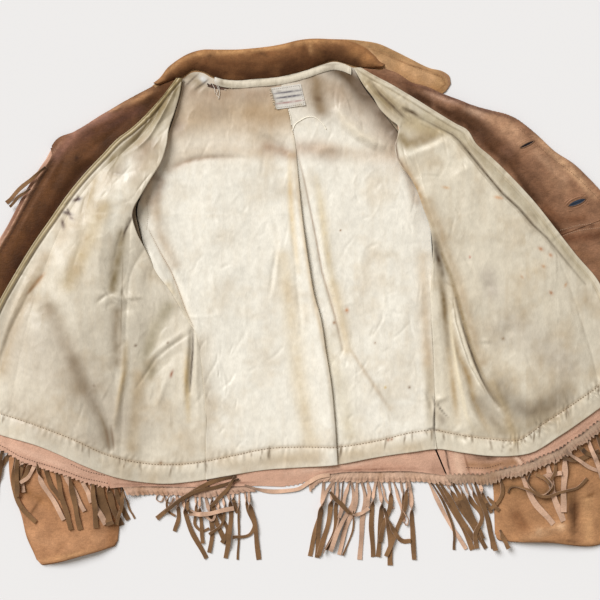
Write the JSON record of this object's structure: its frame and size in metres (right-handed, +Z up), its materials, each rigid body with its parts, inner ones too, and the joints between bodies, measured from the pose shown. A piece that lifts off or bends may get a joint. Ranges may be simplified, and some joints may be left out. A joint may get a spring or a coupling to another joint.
{
  "type": "fringed buckskin jacket laid open",
  "caption": "Short buckskin jacket with satin lining, turned collar and hem fringe, laid flat on its back with its fronts thrown open.",
  "frame": {"origin": "On the surface that the jacket lies on, under the middle of its outline.", "axes": "+Z up, away from the surface; +Y from the hem to the collar; +X to the right, seen from above with the collar at the top."},
  "size_m": [1.0494, 0.7406, 0.0279],
  "materials": {
    "smoked_buckskin": "brushed hair side of smoke-tanned buckskin, matt, tan with darker handled places",
    "flesh_side": "raw flesh side of buckskin, matt and pinkish tan, fuzzy",
    "worn_facing": "greasy dark brown buckskin, worn pale along the edge",
    "cream_satin": "aged cream satin lining with stains and soft creases, silky sheen",
    "cotton_tape": "white cotton tape along the neck, matt",
    "woven_label": "bare woven label with a frayed edge, matt",
    "brown_button": "dark brown horn-like button, half gloss"
  },
  "bodies": {
    "root": {"back_leather": "flesh_side", "front_leather_left": "flesh_side", "front_leather_right": "flesh_side", "facing_left": "worn_facing", "facing_right_upper": "worn_facing", "facing_right_lower": "worn_facing", "collar_fall": "smoked_buckskin", "collar_stand": "smoked_buckskin", "sleeve_left_upper": "smoked_buckskin", "sleeve_left_under": "smoked_buckskin", "sleeve_right_upper": "smoked_buckskin", "sleeve_right_under": "smoked_buckskin", "lining_back_left": "cream_satin", "lining_back_right": "cream_satin", "lining_front_left": "cream_satin", "lining_front_right": "cream_satin", "neck_tape": "cotton_tape", "label": "woven_label", "fringe_strip_left": "flesh_side", "fringe_strip_back_left": "flesh_side", "fringe_strip_back": "flesh_side", "fringe_strip_right": "flesh_side", "fringe_back_right": "smoked_buckskin", "fringe_back_left": "smoked_buckskin", "fringe_side_left": "smoked_buckskin", "fringe_side_right": "smoked_buckskin", "fringe_left_cuff": "smoked_buckskin", "fringe_left_end": "smoked_buckskin", "fringe_right_cuff": "smoked_buckskin", "fringe_right_end": "smoked_buckskin", "fringe_sleeve_left": "smoked_buckskin", "button_1": "brown_button", "button_2": "brown_button", "button_3": "brown_button", "button_4": "brown_button"}
  },
  "joints": []
}
